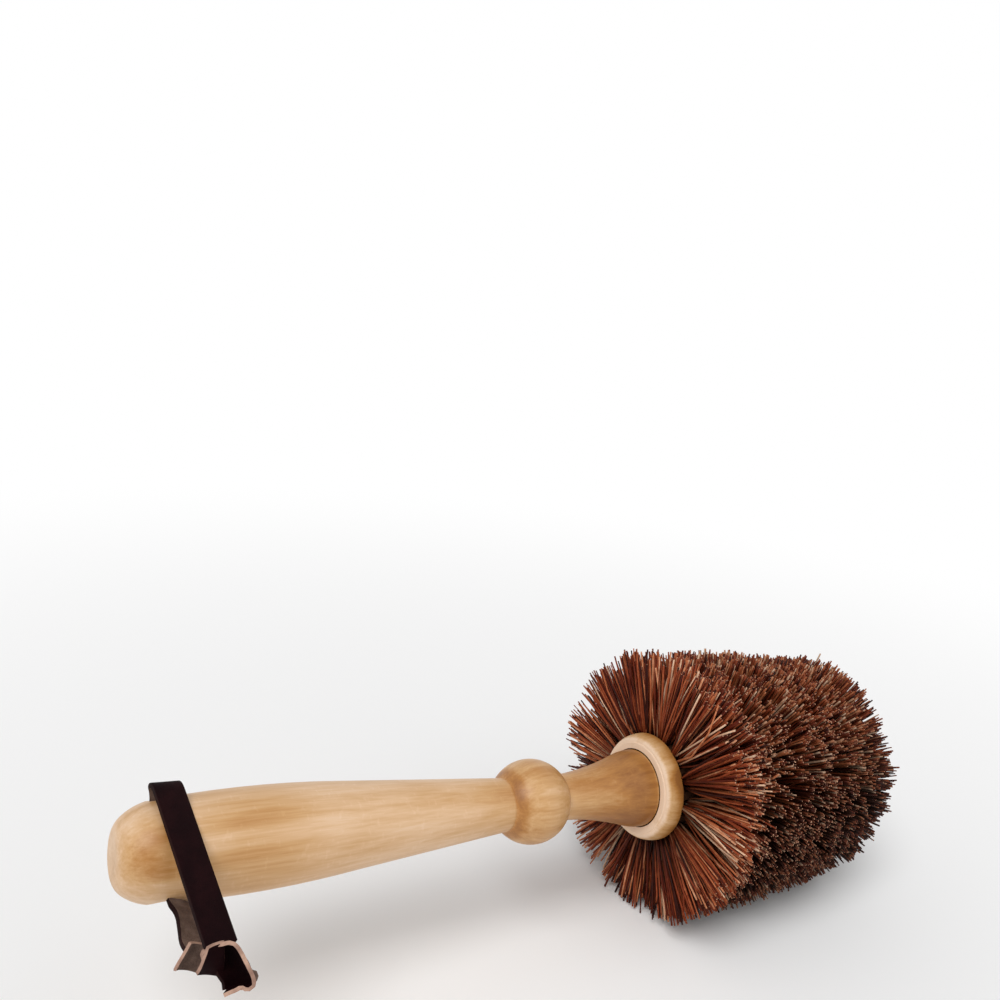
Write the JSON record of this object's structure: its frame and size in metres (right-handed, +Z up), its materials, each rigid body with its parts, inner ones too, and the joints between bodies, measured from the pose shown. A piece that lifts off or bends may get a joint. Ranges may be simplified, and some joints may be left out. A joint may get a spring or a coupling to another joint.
{
  "type": "palm brush",
  "caption": "Turned wooden handle with a ball grip and a tapered round head of stiff palm fibre tufts, hung by a knotted leather loop; scrubs pots and vessels inside.",
  "frame": {"origin": "on the floor under the middle of the brush, handle and head together, as it lies at rest", "axes": "+X runs from the butt of the handle towards the head, level with the floor; +Z is up"},
  "size_m": [0.3592, 0.1227, 0.1182],
  "materials": {
    "handle_wood": "satin",
    "block_wood": "matte",
    "palm_fibre": "matte",
    "anchor_wire": "satin",
    "thong_leather": "satin",
    "knot_leather": "satin"
  },
  "bodies": {
    "brush": {"handle": "handle_wood", "head_block": "block_wood", "bristle_row_1": "palm_fibre", "bristle_row_2": "palm_fibre", "bristle_row_3": "palm_fibre", "bristle_row_4": "palm_fibre", "bristle_row_5": "palm_fibre", "bristle_row_6": "palm_fibre", "bristle_row_7": "palm_fibre", "bristle_row_8": "palm_fibre", "bristle_end": "palm_fibre", "tuft_anchors_1": "anchor_wire", "tuft_anchors_2": "anchor_wire", "tuft_anchors_3": "anchor_wire", "tuft_anchors_4": "anchor_wire", "tuft_anchors_5": "anchor_wire", "tuft_anchors_6": "anchor_wire", "tuft_anchors_7": "anchor_wire", "tuft_anchors_8": "anchor_wire", "tuft_anchors_end": "anchor_wire"},
    "loop": {"leather_thong": "thong_leather", "thong_knot": "knot_leather"}
  },
  "joints": [
    {"name": "loop_swing", "type": "hinge", "parent": "brush", "child": "loop", "pos_m": [-0.16307, 0, 0.07756], "axis": [0.0731, 0.5446, 0.8355], "range_deg": [-204, 0]}
  ]
}
